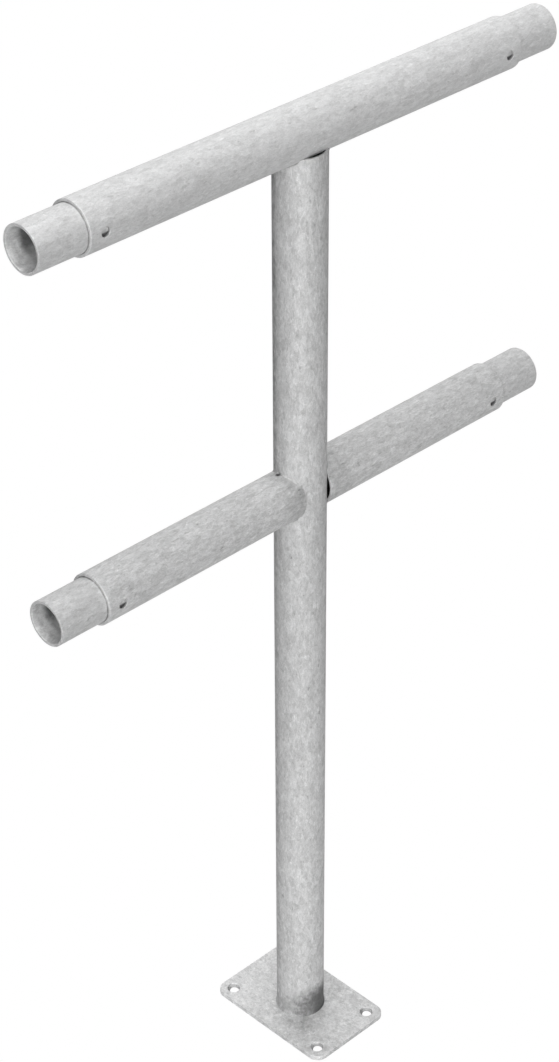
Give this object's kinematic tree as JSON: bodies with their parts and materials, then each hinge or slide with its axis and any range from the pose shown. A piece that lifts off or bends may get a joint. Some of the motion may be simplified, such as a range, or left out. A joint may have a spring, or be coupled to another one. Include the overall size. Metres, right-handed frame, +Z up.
{
  "type": "tubular railing post",
  "caption": "Galvanised tube railing post on a drilled base plate, with a through top rail, a mid rail and slide-on spigots in the rail ends.",
  "frame": {"origin": "centre of the base plate's underside, on the post's axis", "axes": "+Z up the post, X along the rails, -Y the side with the plug holes"},
  "size_m": [0.6, 0.15, 1.01],
  "materials": {
    "galvanised_tube": "hot-dip galvanised, dull and mottled",
    "galvanised_plate": "hot-dip galvanised, dull and mottled",
    "galvanised_weld": "hot-dip galvanised weld bead"
  },
  "bodies": {
    "root": {"base_plate": "galvanised_plate", "base_weld": "galvanised_weld", "post_tube": "galvanised_tube", "top_rail_tube": "galvanised_tube", "mid_left_rail_tube": "galvanised_tube", "mid_left_upper_weld": "galvanised_weld", "mid_left_lower_weld": "galvanised_weld", "top_left_rail_weld": "galvanised_weld", "top_left_spigot": "galvanised_tube", "top_left_plug_weld": "galvanised_weld", "mid_left_spigot": "galvanised_tube", "mid_left_plug_weld": "galvanised_weld", "mid_right_rail_tube": "galvanised_tube", "mid_right_upper_weld": "galvanised_weld", "mid_right_lower_weld": "galvanised_weld", "top_right_rail_weld": "galvanised_weld", "top_right_spigot": "galvanised_tube", "top_right_plug_weld": "galvanised_weld", "mid_right_spigot": "galvanised_tube", "mid_right_plug_weld": "galvanised_weld"}
  },
  "joints": []
}
